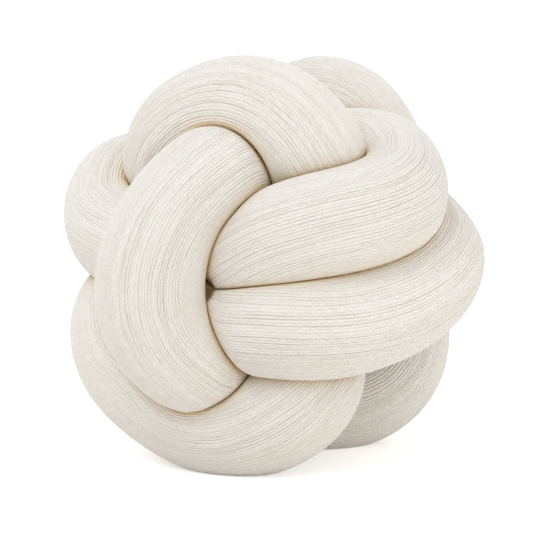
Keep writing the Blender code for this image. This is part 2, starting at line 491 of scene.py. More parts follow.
@dataclass(frozen=True)
class Hollow:
    """A small well between passes, shaped as part of an egg.

    Attributes:
        middle: The egg's middle.
        size: Its half lengths to the right, up and to the front.
        beside: The runs that open into it, and the run after each.
    """

    middle: Place = (-48.0, -15.0, 97.0)
    size: Place = (7.0, 9.0, 12.0)
    beside: tuple[tuple[Run, Run], ...] = (
        (Run.UPPER_SWEEP, Run.LOWER_ARCH),
        (Run.LOWER_SWEEP, Run.LEFT_TURN),
    )

    def met(self, start: Array, rays: Array) -> Array:
        """Where rays from one point first meet the well.

        Args:
            start: The point.
            rays: Unit directions, one a row.

        Returns:
            The length along each ray, endless where it misses.
        """
        off = (start - np.array(self.middle)) / np.array(self.size)
        rays = rays / np.array(self.size)
        steep = (rays**2).sum(axis=1)
        towards = rays @ off
        inside = towards**2 - steep * (off @ off - 1)
        length = (-towards - np.sqrt(np.maximum(inside, 0.0))) / steep
        return np.where((inside <= 0) | (length <= 0), np.inf, length)


@dataclass
class FilledTube:
    """The filled tube's smooth surface, as rings of points along the centre line.

    Lengths are in millimetres unless a line says otherwise.

    Attributes:
        line: The settled centre line.
        ring_step: Spacing of the rings.
        rays: Directions in which each section is measured.
        seam_gap: Clear air between two passes that press on each other.
        own_bend: Length of tube beside a section that never limits it, and length that counts
            as its own bend, in radii.
        bend_clearance: Clear of the middle of its own bend, in radii.
        look_round: How far off another pass can press on a section, in radii.
        least_reach: The least that a section reaches, in radii.
        swell: The most that a pressed section swells, as a factor.
        swell_steps: Steps in which it swells, and the most of each, as a share.
        swell_reach: Length of tube over which swelling spreads.
        kept: Share of the round section's area that a pressed one keeps.
        corner: How sharply a round side turns into a pressed one.
        evening: Length of tube over which sections are evened, and in how many passes round
            it.
        crowding: How much closer the rings stand in a bend, and passes that even it.
        pressed_at: How much nearer than the farthest side a side is fully pressed, as a share,
            and passes that even it.
        near: How far off another pass still darkens the tube with painted shade.
        lean: How far the ball is rolled back, in degrees.
        rest_depth: How far the lowest passes are pressed flat.
        hollow: The small hollow that the two sweeps leave beside the column.
    """

    line: CentreLine
    ring_step: float
    rays: int = 216
    seam_gap: float = 0.2
    own_bend: Pair = (0.3, 2.2)
    bend_clearance: float = 0.04
    look_round: float = 3.2
    least_reach: float = 0.12
    swell: float = 1.07
    swell_steps: tuple[int, float] = (12, 0.03)
    swell_reach: float = 27.0
    kept: float = 0.94
    corner: float = 60.0
    evening: tuple[float, int] = (8.0, 2)
    crowding: tuple[float, int] = (0.35, 8)
    pressed_at: tuple[float, int] = (0.06, 6)
    near: float = 6.0
    lean: float = 8.0
    rest_depth: float = 5.0
    hollow: Hollow = Hollow()
    places: Array = field(init=False)
    centres: Array = field(init=False)
    way: Array = field(init=False)
    side: Array = field(init=False)
    up: Array = field(init=False)
    reach: Array = field(init=False)
    press: Array = field(init=False)
    closeness: Array = field(init=False)

    def __post_init__(self) -> None:
        """Places the rings and measures every section."""
        curve = self.line.fine
        run = distances(curve)
        self.places = self.ring_places(curve, run)
        self.centres = sampled(run, curve, self.places)
        way = sampled(run, tangents(curve), self.places)
        self.way = way / np.linalg.norm(way, axis=1, keepdims=True)
        self.side, self.up = self.carried_frames()
        limits = np.minimum(self.limits(curve, run), self.hollow_limits())
        self.reach = self.pressed(limits)
        # How near another pass lies, a mask that only paints shade beside creases
        self.closeness = np.exp(-np.maximum(limits - self.reach, 0.0) / self.near)
        share = self.reach / self.reach.max(axis=1, keepdims=True)
        full, passes = self.pressed_at
        self.press = evened(np.clip((1 - share) / full, 0.0, 1.0), passes, 1)

    @property
    def radius(self) -> float:
        """The free tube's radius."""
        return self.line.diameter / 2

    def ring_places(self, curve: Array, run: Array) -> Array:
        """Running lengths of the rings, closer together where the tube bends.

        Args:
            curve: The fine centre line.
            run: Its running lengths.

        Returns:
            The running length at each ring.
        """
        count = round(run[-1] / self.ring_step)
        step = np.roll(curve, -1, axis=0) - curve
        way = step / np.linalg.norm(step, axis=1, keepdims=True)
        turn = np.linalg.norm(np.roll(way, -1, axis=0) - way, axis=1)
        closer, passes = self.crowding
        weight = np.diff(run) + closer * self.line.diameter * evened(turn, passes, 0)
        total = np.concatenate([[0.0], np.cumsum(weight)])
        return np.interp(np.arange(count) * total[-1] / count, total, run)

    def carried_frames(self) -> tuple[Array, Array]:
        """Two cross directions for each ring, carried along without twist.

        Returns:
            The sideways and the upward direction of each ring.
        """
        side = np.empty_like(self.way)
        side[0] = np.cross(self.way[0], (0.0, 0.0, 1.0))
        side[0] /= np.linalg.norm(side[0])
        for i in range(1, len(side)):
            side[i] = side[i - 1] - self.way[i] * (side[i - 1] @ self.way[i])
            side[i] /= np.linalg.norm(side[i])
        last = side[-1] - self.way[0] * (side[-1] @ self.way[0])
        other = np.cross(self.way[0], side[0])
        twist = -math.atan2(last @ other, last @ side[0])
        angle = twist * np.arange(len(side))[:, None] / len(side)
        up = np.cross(self.way, side)
        turned = side * np.cos(angle) + up * np.sin(angle)
        return turned, np.cross(self.way, turned)

    def directions(self) -> tuple[Array, Array]:
        """Cosine and sine of each ray's angle round a section."""
        angle = np.arange(self.rays) * 2 * math.pi / self.rays
        return np.cos(angle), np.sin(angle)

    def limits(self, curve: Array, run: Array) -> Array:
        """How far each ray may go before it is half way to another pass.

        Args:
            curve: The fine centre line.
            run: Its running lengths.

        Returns:
            One row of limits for each ring.
        """
        cosine, sine = self.directions()
        beside, bend = (length * self.radius for length in self.own_bend)
        found = np.empty((len(self.centres), self.rays))
        for i, centre in enumerate(self.centres):
            to = curve - centre
            square = (to**2).sum(axis=1)
            arc = np.abs(run[:-1] - self.places[i])
            arc = np.minimum(arc, run[-1] - arc)
            near = (arc > beside) & (square < (self.look_round * self.radius) ** 2)
            across = np.outer(to[near] @ self.side[i], cosine)
            facing = np.maximum(across + np.outer(to[near] @ self.up[i], sine), LEAST_FACING)
            half = square[near][:, None] / (2 * facing)
            seam = 0.5 * self.seam_gap * np.sqrt(square[near])[:, None] / facing
            clear = np.where(arc[near][:, None] > bend, seam, self.bend_clearance * self.radius)
            found[i] = (half - clear).min(axis=0)
        return np.maximum(found, self.least_reach * self.radius)

    def hollow_limits(self) -> Array:
        """How far each ray of the two sweeps may go before it opens into the hollow.

        Returns:
            One row of limits for each ring, endless where the hollow is out of reach.
        """
        cosine, sine = self.directions()
        found = np.full((len(self.centres), self.rays), np.inf)
        for first, after in self.hollow.beside:
            start, end = self.line.place_of(first), self.line.place_of(after)
            for i in np.flatnonzero((self.places > start) & (self.places < end)):
                rays = cosine[:, None] * self.side[i] + sine[:, None] * self.up[i]
                found[i] = self.hollow.met(self.centres[i], rays)
        return found

    def pressed(self, limits: Array) -> Array:
        """Section radii under the limits: the free sides swell to keep most of the area.

        Args:
            limits: The rays' limits.

        Returns:
            The radius along each ray.
        """
        steps, most = self.swell_steps
        along, passes = self.evening
        wedge = 0.5 * math.sin(2 * math.pi / self.rays)
        size = np.full(len(limits), self.radius)
        for _ in range(steps):
            reach = self.softened(size, limits)
            area = wedge * (reach * np.roll(reach, -1, axis=1)).sum(axis=1)
            scale = np.sqrt(self.kept * math.pi * self.radius**2 / area)
            grown = size * np.clip(scale, 1 - most, 1 + most)
            size = np.minimum(grown, self.swell * self.radius)
        size = evened(size, round(2 * (self.swell_reach / self.ring_step) ** 2), 0)
        reach = self.softened(size, limits)
        return evened(evened(reach, round(along / self.ring_step), 0), passes, 1)

    def softened(self, size: Array, limits: Array) -> Array:
        """The smooth lesser of a ring's size and its limits."""
        power = self.corner
        return (size[:, None] ** -power + limits**-power) ** (-1 / power)

    def outlines(self) -> tuple[Array, Array]:
        """Every section's outline.

        Returns:
            The outlines, each in its own plane, and the share of the outline's length at each
            of its points.
        """
        cosine, sine = self.directions()
        closed = ringed(np.stack([self.reach * cosine, self.reach * sine], axis=-1))
        step = np.linalg.norm(np.diff(closed, axis=1), axis=2)
        length = np.concatenate([np.zeros((len(step), 1)), np.cumsum(step, axis=1)], axis=1)
        return closed, length / length[:, -1:]

    def on_ring(self, i: int, at: Array, length: Array, outline: Array) -> Array:
        """Points on one ring of the smooth tube.

        Args:
            i: The ring.
            at: How far round it each point lies, as a share.
            length: The share of the outline's length at each of its points.
            outline: The ring's outline, in its own plane.

        Returns:
            The points, one a row.
        """
        x = np.interp(at, length, outline[:, 0])
        y = np.interp(at, length, outline[:, 1])
        return self.centres[i] + x[:, None] * self.side[i] + y[:, None] * self.up[i]

    def leaned(self, points: Array) -> Array:
        """From the knot's own frame, with z towards the viewer, to the room's.

        Args:
            points: Points in the knot's frame.

        Returns:
            The points in the room's frame.
        """
        lean = math.radians(self.lean)
        x, y, z = points[..., 0], points[..., 1], points[..., 2]
        depth = y * math.sin(lean) - z * math.cos(lean)
        height = y * math.cos(lean) + z * math.sin(lean)
        return np.stack([x, depth, height], axis=-1)

    def shift_to_floor(self) -> Array:
        """What brings the leaned ball over the origin and its rest spots to the floor.

        Returns:
            The shift, which comes after the lean.
        """
        cosine, sine = self.directions()
        rays = self.side[:, None] * cosine[None, :, None] + self.up[:, None] * sine[None, :, None]
        points = self.leaned(self.centres[:, None] + self.reach[:, :, None] * rays)
        low = points.reshape(-1, 3).min(axis=0)
        high = points.reshape(-1, 3).max(axis=0)
        middle = -0.5 * (low + high)
        return np.array([middle[0], middle[1], -low[2] - self.rest_depth])


@dataclass
class RibKnit:
    """The knit's relief: narrow wales that run along the tube with grooves between them.

    Heights and lengths along the tube are in millimetres.

    Attributes:
        tube: The smooth tube under the knit.
        wale_points: Points across one wale.
        wales: Wales round the tube.
        groove: Depth of the groove between two wales.
        groove_width: Half width of a groove, in wales.
        groove_range: Least and greatest depth of a groove, as a share.
        mask_depth: Depth from which a groove's painted shade is full, as a share.
        crest: How far the wales stand above the smooth surface.
        row_pitch: Spacing of the stitches along a wale.
        uneven: How much the wales differ in width, as a share, and the most as a multiple
            of that.
        pairing: How much deeper every second groove is, as a share.
        spread: How much the grooves differ in depth, as a share.
        fading: How much each groove's depth varies along it, as a share, and over what
            length it hangs together.
        wander: How far each wale strays to the side, in wales, and the most as a multiple
            of that.
        wander_reach: Length of tube over which its straying hangs together.
        sway: How far all wales stray together, in wales, and over how many such lengths.
        lumps: Height of the filling's slow unevenness, and over what length it hangs
            together.
        lump_turns: The most waves that it has round the tube.
        flattening: How much of the relief a pressed side loses, and how steeply.
        probes: Points round a ring by which it is turned to the one before, and how often.
        seed: Seed of every wave.
    """

    tube: FilledTube
    wale_points: int
    wales: int = 102
    groove: float = 0.62
    groove_width: float = 0.17
    groove_range: Pair = (0.25, 1.9)
    mask_depth: float = 1.3
    crest: float = 0.22
    row_pitch: float = 2.1
    uneven: Pair = (0.16, 1.8)
    pairing: float = 0.18
    spread: float = 0.25
    fading: Pair = (0.22, 5.0)
    wander: Pair = (0.18, 2.2)
    wander_reach: float = 8.0
    sway: tuple[float, int] = (0.5, 6)
    lumps: Pair = (0.35, 26.0)
    lump_turns: int = 6
    flattening: tuple[float, int] = (0.5, 3)
    probes: tuple[int, int] = (96, 3)
    seed: int = 11
    points: Array = field(init=False)
    mask: Array = field(init=False)
    close: Array = field(init=False)
    shift: Array = field(init=False)

    def __post_init__(self) -> None:
        """Lays the wales on the tube and raises them."""
        rng = np.random.default_rng(self.seed)
        smooth, press, self.close = self.laid(self.across(self.wale_edges(rng)))
        depth, self.mask = self.relief(rng)
        normal = self.normals(smooth)
        bump = self.lumpiness(rng, smooth.shape[0], smooth.shape[1])
        most, power = self.flattening
        free = 1 - most * press**power
        raised = smooth + normal * ((self.crest - depth + bump) * free)[:, :, None]
        self.shift = self.tube.shift_to_floor()
        placed = self.tube.leaned(raised) + self.shift
        placed[..., 2] = np.maximum(placed[..., 2], 0.0)
        self.points = placed

    def wale_edges(self, rng: np.random.Generator) -> Array:
        """Where each wale begins round the tube, for each ring, in wales.

        Args:
            rng: The seeded source.

        Returns:
            One row a ring, with one more column than there are wales.
        """
        rings = len(self.tube.centres)
        differ, most = self.uneven
        width = 1 + differ * rng.standard_normal(self.wales).clip(-most, most)
        start = np.concatenate([[0.0], np.cumsum(width)]) * self.wales / width.sum()
        reach = self.wander_reach / self.tube.ring_step
        far, most = self.wander
        stray = far * wandering(rng, self.wales, rings, reach).T.clip(-most, most)
        far, times = self.sway
        together = far * wandering(rng, 1, rings, times * reach).T
        edges = start[None, :-1] + evened(stray, 1, 1) + together
        return np.column_stack([edges, edges[:, :1] + self.wales])

    def across(self, edges: Array) -> Array:
        """Every point's place round the tube, in wales.

        Args:
            edges: Where the wales begin.

        Returns:
            One row a ring, wale_points columns a wale.
        """
        part = np.arange(self.wale_points) / self.wale_points
        width = np.diff(edges, axis=1)
        return (edges[:, :-1, None] + width[:, :, None] * part).reshape(len(edges), -1)

    def laid(self, across: Array) -> tuple[Array, Array, Array]:
        """The wales laid round the sections without slipping sideways from ring to ring.

        Args:
            across: Every point's place round the tube, in wales.

        Returns:
            The points on the smooth tube, how hard each is pressed, and how close each is
            to another pass, which paints shade beside creases.
        """
        tube = self.tube
        closed, length = tube.outlines()
        press, near = ringed(tube.press), ringed(tube.closeness)
        turn = self.turning(closed, length)
        points = np.empty(across.shape + (3,))
        pressed = np.empty(across.shape)
        close = np.empty(across.shape)
        for i in range(len(across)):
            at = (across[i] / self.wales + turn[i]) % 1.0
            points[i] = tube.on_ring(i, at, length[i], closed[i])
            pressed[i] = np.interp(at, length[i], press[i])
            close[i] = np.interp(at, length[i], near[i])
        return points, pressed, close

    def turning(self, closed: Array, length: Array) -> Array:
        """How far each ring's wales start from its first ray, so that none slips sideways.

        Args:
            closed: Each section's outline, in its own plane.
            length: The share of the outline's length at each of its points.

        Returns:
            The start of each ring, as a share of its outline.
        """
        rings = len(closed)
        count, times = self.probes
        probe = np.arange(count) / count
        turn = np.zeros(rings + 1)
        before = None
        for k in range(rings + 1):
            i = k % rings
            if k:
                turn[k] = turn[k - 1]
            for _ in range(times if k else 1):
                at = (probe + turn[k]) % 1.0
                here = self.tube.on_ring(i, at, length[i], closed[i])
                if before is None:
                    break
                along = np.roll(here, -1, axis=0) - np.roll(here, 1, axis=0)
                size = np.linalg.norm(along, axis=1)
                slip = ((here - before) * along).sum(axis=1) / size
                turn[k] -= slip.mean() / (0.5 * size.sum())
            before = here
        wale = 1.0 / self.wales
        left = turn[-1] - wale * round(turn[-1] / wale)
        return turn[:-1] - left * np.arange(rings) / rings

    def relief(self, rng: np.random.Generator) -> tuple[Array, Array]:
        """The wales' relief.

        Args:
            rng: The seeded source.

        Returns:
            The depth under the wales' crests, and a mask of painted shade, 1 in the grooves.
        """
        rings = len(self.tube.centres)
        fade, fade_reach = self.fading
        reach = fade_reach / self.tube.ring_step
        groove = 1 + self.pairing * (-1.0) ** np.arange(self.wales)[:, None]
        groove = groove + self.spread * rng.standard_normal(self.wales)[:, None]
        groove = groove + fade * wandering(rng, self.wales, rings, reach)
        groove = self.groove * groove.clip(*self.groove_range).T
        part = np.arange(self.wale_points) / self.wale_points
        edge = np.exp(-((np.minimum(part, 1 - part) / self.groove_width) ** 2))
        depth = groove[:, :, None] * edge
        mask = np.clip(depth / (self.mask_depth * self.groove), 0.0, 1.0)
        return depth.reshape(rings, -1), mask.reshape(rings, -1)

    def lumpiness(self, rng: np.random.Generator, rings: int, around: int) -> Array:
        """Slow unevenness of the filling under the knit.

        Args:
            rng: The seeded source.
            rings: How many rings.
            around: Points round each.

        Returns:
            The height at each point.
        """
        height, reach = self.lumps
        turns = self.lump_turns
        waves = wandering(rng, 2 * turns, rings, reach / self.tube.ring_step)
        angle = np.arange(around) * 2 * math.pi / around
        bump = np.zeros((rings, around))
        for k in range(turns):
            spin = (k + 1) * angle[None]
            bump += waves[2 * k][:, None] * np.cos(spin) + waves[2 * k + 1][:, None] * np.sin(spin)
        return height * bump / math.sqrt(turns)

    @staticmethod
    def normals(points: Array) -> Array:
        """Outward unit normals of a surface that closes both ways.

        Args:
            points: The surface's points, one row a ring.

        Returns:
            A normal for each point.
        """
        along = np.roll(points, -1, axis=0) - np.roll(points, 1, axis=0)
        across = np.roll(points, -1, axis=1) - np.roll(points, 1, axis=1)
        normal = np.cross(along, across)
        size = np.linalg.norm(normal, axis=2, keepdims=True)
        normal = normal / np.maximum(size, TINY)
        centre = points.mean(axis=1, keepdims=True)
        outward = np.sign(((points - centre) * normal).sum(axis=2).mean())
        return normal * outward


class Wiring:
    """Adds nodes to a tree and links them."""

    def __init__(self, tree: bpy.types.NodeTree) -> None:
        """Starts on a tree."""
        self.tree = tree

    def add(self, kind: str, values: dict[str, object] | None = None) -> bpy.types.Node:
        """Adds a node.

        Args:
            kind: Its kind.
            values: What its inputs are set to, by name.

        Returns:
            The node.
        """
        node = self.tree.nodes.new(kind)
        self.preset(node, values or {})
        return node

    @staticmethod
    def preset(node: bpy.types.Node, values: dict[str, object]) -> None:
        """Sets a node's unlinked inputs.

        Args:
            node: The node.
            values: What its inputs are set to, by name.
        """
        for name, value in values.items():
            node.inputs[name].default_value = value

    def link(self, start: Socket, end: Socket) -> None:
        """Links two sockets."""
        self.tree.links.new(start, end)

    def attribute(self, name: str) -> Socket:
        """Adds an Attribute node.

        Args:
            name: The mesh attribute's name.

        Returns:
            The attribute's value as a socket.
        """
        node = self.add("ShaderNodeAttribute")
        node.attribute_name = name
        return node.outputs["Fac"]

    def parts(self, vector: Socket) -> tuple[Socket, ...]:
        """Adds a node that parts a vector.

        Args:
            vector: The vector's socket.

        Returns:
            The sockets of x, y and z.
        """
        node = self.add("ShaderNodeSeparateXYZ")
        self.link(vector, node.inputs[0])
        return tuple(node.outputs)

    def math(self, operation: str, first: Socket, second: float | Socket | None = None) -> Socket:
        """Adds a Math node.

        Args:
            operation: What it does.
            first: The first value's socket.
            second: The second value, a number or a socket.

        Returns:
            The result's socket.
        """
        node = self.add("ShaderNodeMath")
        node.operation = operation
        self.link(first, node.inputs[0])
        if isinstance(second, Socket):
            self.link(second, node.inputs[1])
        elif second is not None:
            node.inputs[1].default_value = second
        return node.outputs[0]

    def mix(self, factor: Socket, first: Colour | Socket, second: Colour | Socket) -> Socket:
        """Adds a colour Mix node.

        Args:
            factor: How much of the second colour.
            first: A colour or a socket.
            second: A colour or a socket.

        Returns:
            The mixed colour's socket.
        """
        node = self.add("ShaderNodeMix")
        node.data_type = "RGBA"
        self.link(factor, node.inputs["Factor"])
        for name, value in (("A", first), ("B", second)):
            socket = next(s for s in node.inputs if s.name == name and s.type == "RGBA")
            if isinstance(value, Socket):
                self.link(value, socket)
            else:
                socket.default_value = (*value, 1.0)
        return next(s for s in node.outputs if s.type == "RGBA")

    def ranged(self, value: Socket, low: float, high: float, start: float, end: float) -> Socket:
        """Adds a Map Range node that clamps.

        Args:
            value: The value's socket.
            low: Where the range begins.
            high: Where it ends.
            start: The result at low.
            end: The result at high.

        Returns:
            The result's socket.
        """
        ends = {"From Min": low, "From Max": high, "To Min": start, "To Max": end}
        node = self.add("ShaderNodeMapRange", ends)
        self.link(value, node.inputs["Value"])
        return node.outputs["Result"]


@dataclass(frozen=True)
class Grain:
    """Fine noise about 0, stretched along its axes.

    Attributes:
        scale: Its scale along each axis.
        detail: Octaves of finer noise.
        roughness: How strong they are.
    """

    scale: Place
    detail: float
    roughness: float = 0.6

    def read(self, nodes: Wiring, place: Socket) -> Socket:
        """Adds the noise.

        Args:
            nodes: The tree to add to.
            place: Where the noise is read.

        Returns:
            The noise's socket, from -1 to 1.
        """
        stretch = nodes.add("ShaderNodeVectorMath")
        stretch.operation = "MULTIPLY"
        nodes.link(place, stretch.inputs[0])
        stretch.inputs[1].default_value = self.scale
        values = {"Scale": 1.0, "Detail": self.detail, "Roughness": self.roughness}
        noise = nodes.add("ShaderNodeTexNoise", values)
        nodes.link(stretch.outputs[0], noise.inputs["Vector"])
        about = nodes.math("SUBTRACT", noise.outputs["Fac"], 0.5)
        return nodes.math("MULTIPLY", about, 2.0)


@dataclass(frozen=True)
class StitchRelief:
    """The shared effect of knitted stitches: slanted loops along each wale, flecks and fibres.

    Attributes:
        name: The node group's name.
        given: Its inputs, how strong each part of the effect is.
        taken: Its outputs.
        slant: How far the loops lean across a wale, in stitches.
        line: Where a groove's line is full and where it ends, in wales from the wale's edge.
        line_depth: From what noise to what noise a line gains depth, and from what to what.
        line_grain: The noise of its depth, by a wale's width and a stitch's height.
        stray: How far the lines stray to the side, in wales.
        stray_grain: The noise of their straying, by the same.
        flecks: The noise of the flecks, by the same.
        fibres: The noise of the fibres, by metres.
    """

    name: str = "stitch_relief"
    given: tuple[str, ...] = ("Loops", "Flecks", "Fibres", "Lines")
    taken: tuple[str, ...] = ("Height", "Shade", "Line")
    slant: float = 0.45
    line: Pair = (0.02, 0.16)
    line_depth: Ramp = (-0.4, 0.4, 0.3, 1.0)
    line_grain: Grain = Grain((0.9, 0.35, 1.0), 1.0)
    stray: float = 0.22
    stray_grain: Grain = Grain((0.5, 0.5, 1.0), 2.0)
    flecks: Grain = Grain((2.0, 0.7, 1.0), 2.0)
    fibres: Grain = Grain((1100.0, 1100.0, 1100.0), 3.0)

    def group(self) -> bpy.types.NodeTree:
        """The node group, built once.

        Returns:
            A group that takes the given inputs and puts out the taken ones.
        """
        if self.name in bpy.data.node_groups:
            return bpy.data.node_groups[self.name]
        tree = bpy.data.node_groups.new(self.name, "ShaderNodeTree")
        for side, names in (("INPUT", self.given), ("OUTPUT", self.taken)):
            for name in names:
                tree.interface.new_socket(name, in_out=side, socket_type="NodeSocketFloat")
        nodes = Wiring(tree)
        given = nodes.add("NodeGroupInput").outputs
        taken = nodes.add("NodeGroupOutput").inputs
        lay = nodes.add("ShaderNodeUVMap")
        lay.uv_map = LAY_MAP
        where = nodes.add("ShaderNodeTexCoord")
        effects = {
            "Loops": self.loops(nodes, lay.outputs["UV"]),
            "Flecks": self.flecks.read(nodes, lay.outputs["UV"]),
            "Fibres": self.fibres.read(nodes, where.outputs["Object"]),
        }
        parts = [nodes.math("MULTIPLY", effect, given[name]) for name, effect in effects.items()]
        yarn = nodes.math("ADD", nodes.math("ADD", parts[0], parts[1]), parts[2])
        line = self.lines(nodes, lay.outputs["UV"])
        sunk = nodes.math("MULTIPLY", line, given["Lines"])
        nodes.link(nodes.math("SUBTRACT", yarn, sunk), taken["Height"])
        nodes.link(nodes.math("ADD", yarn, 0.5), taken["Shade"])
        nodes.link(line, taken["Line"])
        return tree

    def lines(self, nodes: Wiring, lay: Socket) -> Socket:
        """The grooves between the wales, straying a little and uneven in depth.

        Args:
            nodes: The tree to add to.
            lay: The place on the knit, in wales and stitches.

        Returns:
            The socket of the lines, from 0 to 1, which sink the bump and paint shade.
        """
        across = nodes.parts(lay)[0]
        stray = self.stray_grain.read(nodes, lay)
        moved = nodes.math("ADD", across, nodes.math("MULTIPLY", stray, self.stray))
        inside = nodes.math("FRACT", nodes.math("ADD", moved, 0.5))
        off = nodes.math("ABSOLUTE", nodes.math("SUBTRACT", inside, 0.5))
        line = nodes.ranged(off, *self.line, 1.0, 0.0)
        depth = self.line_grain.read(nodes, lay)
        return nodes.math("MULTIPLY", line, nodes.ranged(depth, *self.line_depth))

    def loops(self, nodes: Wiring, lay: Socket) -> Socket:
        """Waves along each wale that lean to both sides of its middle.

        Args:
            nodes: The tree to add to.
            lay: The place on the knit, in wales and stitches.

        Returns:
            The socket of the waves, from -1 to 1.
        """
        across, along, _ = nodes.parts(lay)
        inside = nodes.math("FRACT", across)
        leg = nodes.math("ABSOLUTE", nodes.math("SUBTRACT", inside, 0.5))
        lean = nodes.math("MULTIPLY", leg, 2 * self.slant)
        turn = nodes.math("MULTIPLY", nodes.math("ADD", along, lean), 2 * math.pi)
        return nodes.math("SINE", turn)


@dataclass(frozen=True)
class WoolFinish:
    """Off-white wool and cotton knit, matt, with painted shade that darkens and warms its grooves.

    Each tint is a ramp: from what value to what value of its mask it grows, and from what share
    of its colour to what share.

    Attributes:
        crest: The yarn's own colour, out of the painted shade.
        groove: Painted shade down in the grooves, also the tone of the slow patches and flecks.
        near: Painted shade beside a crease, warm as light bounced between passes.
        crease: Painted shade where two passes press on each other.
        stitches: How strong each part of the stitch effect is.
        patches: Scale and detail of the yarn's slow change of tone.
        patch_tint: That change, towards the groove's colour.
        fleck_tint: Darker flecks between lighter fibres, towards the groove's colour.
        groove_shade_tint: The painted shade in the grooves.
        near_crease_shade_tint: The painted shade beside a crease.
        crease_shade_tint: The painted shade in the crease.
        roughness: Roughness of the yarn, deep down and on top.
        specular: Strength of its plain reflection.
        sheen: Weight and roughness of the soft edge light of its fibres.
        sheen_tint: Colour of that light.
        bump: Height of the stitches' bump, in metres.
    """

    crest: Colour = (0.848, 0.837, 0.823)
    # Painted shade in the grooves, also the patches' and flecks' tone
    groove: Colour = (0.74, 0.66, 0.55)
    # Painted shade beside a crease and in it
    near: Colour = (0.82, 0.74, 0.61)
    crease: Colour = (0.87, 0.66, 0.40)
    stitches: tuple[tuple[str, float], ...] = (
        ("Loops", 0.05),
        ("Flecks", 0.75),
        ("Fibres", 0.7),
        ("Lines", 0.6),
    )
    patches: Pair = (22.0, 2.0)
    patch_tint: Ramp = (0.35, 0.65, 0.0, 0.10)
    fleck_tint: Ramp = (0.7, 0.15, 0.0, 0.7)
    # Painted shade in the grooves
    groove_shade_tint: Ramp = (0.05, 1.0, 0.0, 0.7)
    # Painted shade beside creases and in them
    near_crease_shade_tint: Ramp = (0.1, 0.8, 0.0, 0.7)
    crease_shade_tint: Ramp = (0.65, 1.0, 0.0, 0.9)
    roughness: Pair = (0.93, 0.83)
    specular: float = 0.2
    sheen: Pair = (0.12, 0.6)
    sheen_tint: Colour = (1.0, 0.98, 0.94)
    bump: float = 0.0004

    def material(self) -> bpy.types.Material:
        """Builds the knit's material.

        Returns:
            The material.
        """
        material = bpy.data.materials.new("off_white_rib_knit")
        material.use_nodes = True
        nodes = Wiring(material.node_tree)
        shader = material.node_tree.nodes["Principled BSDF"]
        stitches = nodes.add("ShaderNodeGroup")
        stitches.node_tree = StitchRelief().group()
        nodes.preset(stitches, dict(self.stitches))
        nodes.link(self.colour(nodes, stitches), shader.inputs["Base Color"])
        rough = nodes.ranged(stitches.outputs["Shade"], 0.0, 1.0, *self.roughness)
        nodes.link(rough, shader.inputs["Roughness"])
        bump = nodes.add("ShaderNodeBump", {"Strength": 1.0, "Distance": self.bump})
        nodes.link(stitches.outputs["Height"], bump.inputs["Height"])
        nodes.link(bump.outputs["Normal"], shader.inputs["Normal"])
        nodes.preset(
            shader,
            {
                "Specular IOR Level": self.specular,
                "Sheen Weight": self.sheen[0],
                "Sheen Roughness": self.sheen[1],
                "Sheen Tint": (*self.sheen_tint, 1.0),
            },
        )
        return material

    def colour(self, nodes: Wiring, stitches: bpy.types.Node) -> Socket:
        """Adds the knit's colour: its slow patches and flecks, then painted shade in its grooves,
        beside its creases and in them.

        Args:
            nodes: The material's tree.
            stitches: The node of the stitch effect.

        Returns:
            The colour's socket.
        """
        scale, detail = self.patches
        slow = nodes.add("ShaderNodeTexNoise", {"Scale": scale, "Detail": detail})
        where = nodes.add("ShaderNodeTexCoord")
        nodes.link(where.outputs["Object"], slow.inputs["Vector"])
        close = nodes.attribute(CREASE_SHADE_MASK)
        line = stitches.outputs["Line"]
        # The grooves, from the mesh and from the stitch lines, where shade is painted
        groove_shade = nodes.math("MAXIMUM", nodes.attribute(GROOVE_SHADE_MASK), line)
        shown: Colour | Socket = self.crest
        for mask, tint, colour in (
            (slow.outputs["Fac"], self.patch_tint, self.groove),
            (stitches.outputs["Shade"], self.fleck_tint, self.groove),
            # Painted shade in the grooves
            (groove_shade, self.groove_shade_tint, self.groove),
            # Painted shade beside creases and in them
            (close, self.near_crease_shade_tint, self.near),
            (close, self.crease_shade_tint, self.crease),
        ):
            shown = nodes.mix(nodes.ranged(mask, *tint), shown, colour)
        return shown


def placed(name: str, data: bpy.types.ID) -> bpy.types.Object:
    """Makes an object and puts it into the scene.

    Args:
        name: Its name.
        data: Its mesh, lamp or camera.

    Returns:
        The object.
    """
    made = bpy.data.objects.new(name, data)
    bpy.context.scene.collection.objects.link(made)
    return made


